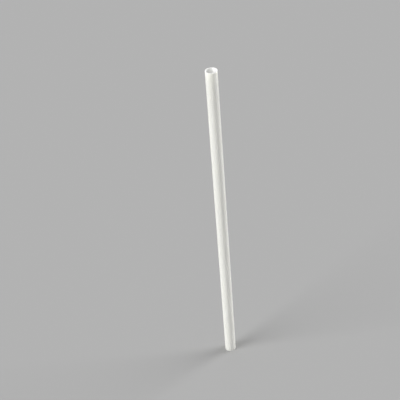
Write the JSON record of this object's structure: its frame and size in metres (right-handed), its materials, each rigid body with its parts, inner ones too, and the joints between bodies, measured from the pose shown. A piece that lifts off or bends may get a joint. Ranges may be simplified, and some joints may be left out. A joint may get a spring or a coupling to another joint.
{
  "type": "drinking straw",
  "caption": "Straight plain drinking straw: one thin milky see-through plastic tube, open at both square-cut ends, for sipping from a glass or cup.",
  "frame": {"origin": "the middle of the lower cut end, on the surface that the straw stands on", "axes": "+Z along the straw's axis, from the lower cut end up to the mouth; the tube is round, so +X and +Y are free"},
  "size_m": [0.008, 0.008, 0.24],
  "materials": {
    "milky_plastic": "satin, milky translucent extruded polypropylene"
  },
  "bodies": {
    "root": {"straw": "milky_plastic"}
  },
  "joints": []
}
